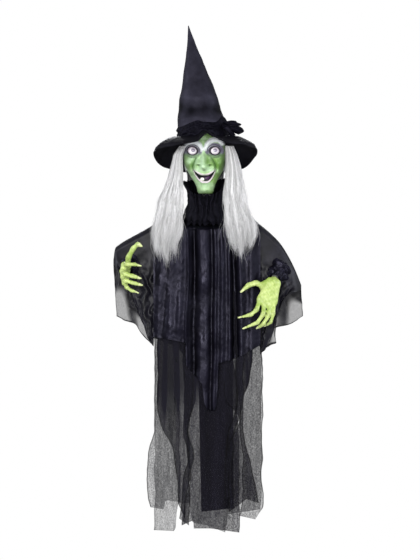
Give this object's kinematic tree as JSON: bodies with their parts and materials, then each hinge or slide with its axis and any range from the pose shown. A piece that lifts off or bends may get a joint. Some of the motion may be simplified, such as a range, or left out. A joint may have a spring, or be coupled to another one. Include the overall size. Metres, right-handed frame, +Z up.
{
  "type": "animated witch figure",
  "caption": "Hanging animated witch figure with a pointed hat, wig and gauze robe, a motorised turning head and posable arms.",
  "frame": {"origin": "centre of the hanging eye at the nape, in the middle of its steel plate", "axes": "+Z up, -Y the way the figure faces, +X its own left"},
  "size_m": [0.378, 0.232, 1.002],
  "materials": {
    "black_abs": "satin",
    "face_pvc": "painted",
    "hand_pvc": "painted",
    "eye_plastic": "gloss",
    "tooth_paint": "gloss",
    "mouth_dark": "matte",
    "lamp_clear": "gloss",
    "satin_black": "satin",
    "hat_satin": "satin",
    "band_fabric": "matte",
    "organza": "sheer",
    "gauze": "sheer",
    "hair_fibre": "satin",
    "elastic": "matte",
    "lining": "matte",
    "zinc_steel": "brushed",
    "white_pom": "satin",
    "red_button": "gloss",
    "motor_steel": "brushed",
    "cell_jacket": "gloss",
    "spring_steel": "bright",
    "board_green": "satin",
    "speaker_paper": "matte",
    "grey_abs": "satin"
  },
  "bodies": {
    "torso": {"battery_cells": "cell_jacket", "battery_door_pin": "zinc_steel", "battery_tray": "black_abs", "chassis_screws": "zinc_steel", "chest_front_shell": "black_abs", "chest_rear_shell": "black_abs", "circuit_board": "board_green", "collar": "organza", "contact_springs": "spring_steel", "gauze_back": "gauze", "gauze_front_centre": "gauze", "gauze_front_left": "gauze", "gauze_front_right": "gauze", "gear_axles": "zinc_steel", "gearbox_base": "white_pom", "gearbox_top": "white_pom", "hanging_plate": "zinc_steel", "left_sleeve": "organza", "motor": "motor_steel", "neck_bearing": "white_pom", "right_sleeve": "organza", "robe": "satin_black", "shoulder_pins": "zinc_steel", "skirt_lining": "lining", "speaker": "speaker_paper", "switches": "grey_abs", "waistband": "elastic"},
    "gear_1": {"gear_1": "white_pom"},
    "gear_2": {"gear_2": "white_pom"},
    "gear_3": {"gear_3": "white_pom"},
    "motor_pinion": {"motor_pinion": "white_pom"},
    "battery_door": {"battery_door": "black_abs"},
    "switch_knob": {"switch_knob": "grey_abs"},
    "demo_button": {"demo_button": "red_button"},
    "head": {"neck_post": "grey_abs", "neck_retaining_rings": "grey_abs", "sector_gear": "white_pom", "face_shell": "face_pvc", "head_rear_shell": "black_abs", "eyes": "eye_plastic", "eye_lamps": "lamp_clear", "mouth_liner": "mouth_dark", "tooth": "tooth_paint", "left_hair": "hair_fibre", "right_hair": "hair_fibre", "back_hair": "hair_fibre", "hat_crown": "hat_satin", "hat_brim": "hat_satin", "hat_band": "band_fabric", "hat_bow": "band_fabric"},
    "left_upper_arm": {"left_upper_arm": "grey_abs", "left_elbow_pin": "zinc_steel"},
    "left_forearm": {"left_forearm": "grey_abs", "left_cuff": "satin_black"},
    "left_hand": {"left_hand": "hand_pvc"},
    "right_upper_arm": {"right_upper_arm": "grey_abs", "right_elbow_pin": "zinc_steel"},
    "right_forearm": {"right_forearm": "grey_abs", "right_cuff": "satin_black"},
    "right_hand": {"right_hand": "hand_pvc"}
  },
  "joints": [
    {"name": "head_turn", "type": "hinge", "parent": "torso", "child": "head", "pos_m": [0, -0.045, -0.03], "axis": [0, 0, 1], "range_deg": [-20, 20], "deforming": ["left_hair", "right_hair", "back_hair", "collar"]},
    {"name": "gear_3_spin", "type": "hinge", "parent": "torso", "child": "gear_3", "pos_m": [0.028, -0.045, -0.08], "axis": [0, 0, 1], "range_deg": [-123, 123]},
    {"name": "gear_2_spin", "type": "hinge", "parent": "torso", "child": "gear_2", "pos_m": [0.028, -0.06, -0.08], "axis": [0, 0, 1], "range_deg": [-492, 492]},
    {"name": "gear_1_spin", "type": "hinge", "parent": "torso", "child": "gear_1", "pos_m": [0.028, -0.045, -0.08], "axis": [0, 0, 1], "range_deg": [-1968, 1968]},
    {"name": "motor_pinion_spin", "type": "hinge", "parent": "torso", "child": "motor_pinion", "pos_m": [0.028, -0.06, -0.08], "axis": [0, 0, 1], "range_deg": [-7872, 7872]},
    {"name": "left_shoulder", "type": "hinge", "parent": "torso", "child": "left_upper_arm", "pos_m": [0.054, -0.045, -0.046], "axis": [0, -1, 0], "range_deg": [-8, 20], "deforming": ["left_sleeve"]},
    {"name": "left_elbow", "type": "hinge", "parent": "left_upper_arm", "child": "left_forearm", "pos_m": [0.152, -0.042, -0.092], "axis": [0, 0, 1], "range_deg": [-4, 25], "deforming": ["left_sleeve"]},
    {"name": "left_wrist", "type": "hinge", "parent": "left_forearm", "child": "left_hand", "pos_m": [0.131, -0.108, -0.128], "axis": [-0.269, -0.8455, -0.4612], "range_deg": [-40, 40], "deforming": ["left_sleeve"]},
    {"name": "right_shoulder", "type": "hinge", "parent": "torso", "child": "right_upper_arm", "pos_m": [-0.054, -0.045, -0.046], "axis": [0, 1, 0], "range_deg": [-8, 20], "deforming": ["right_sleeve"]},
    {"name": "right_elbow", "type": "hinge", "parent": "right_upper_arm", "child": "right_forearm", "pos_m": [-0.142, -0.036, -0.084], "axis": [0, 0, 1], "range_deg": [-25, 10], "deforming": ["right_sleeve"]},
    {"name": "right_wrist", "type": "hinge", "parent": "right_forearm", "child": "right_hand", "pos_m": [-0.157, -0.098, -0.11], "axis": [-0.2178, -0.9001, -0.3774], "range_deg": [-40, 40], "deforming": ["right_sleeve"]},
    {"name": "battery_door_hinge", "type": "hinge", "parent": "torso", "child": "battery_door", "pos_m": [0, -0.0055, -0.1732], "axis": [1, 0, 0], "range_deg": [0, 80]},
    {"name": "switch_slide", "type": "slide", "parent": "torso", "child": "switch_knob", "axis": [1, 0, 0], "range_m": [0, 0.004]},
    {"name": "button_press", "type": "slide", "parent": "torso", "child": "demo_button", "axis": [0, 0, 1], "range_m": [0, 0.0015], "stiffness_N_per_m": 300}
  ],
  "couplings": [
    {"joint": "gear_3_spin", "follows": "head_turn", "ratio": -6},
    {"joint": "gear_2_spin", "follows": "head_turn", "ratio": 24},
    {"joint": "gear_1_spin", "follows": "head_turn", "ratio": -96},
    {"joint": "motor_pinion_spin", "follows": "head_turn", "ratio": 384}
  ]
}
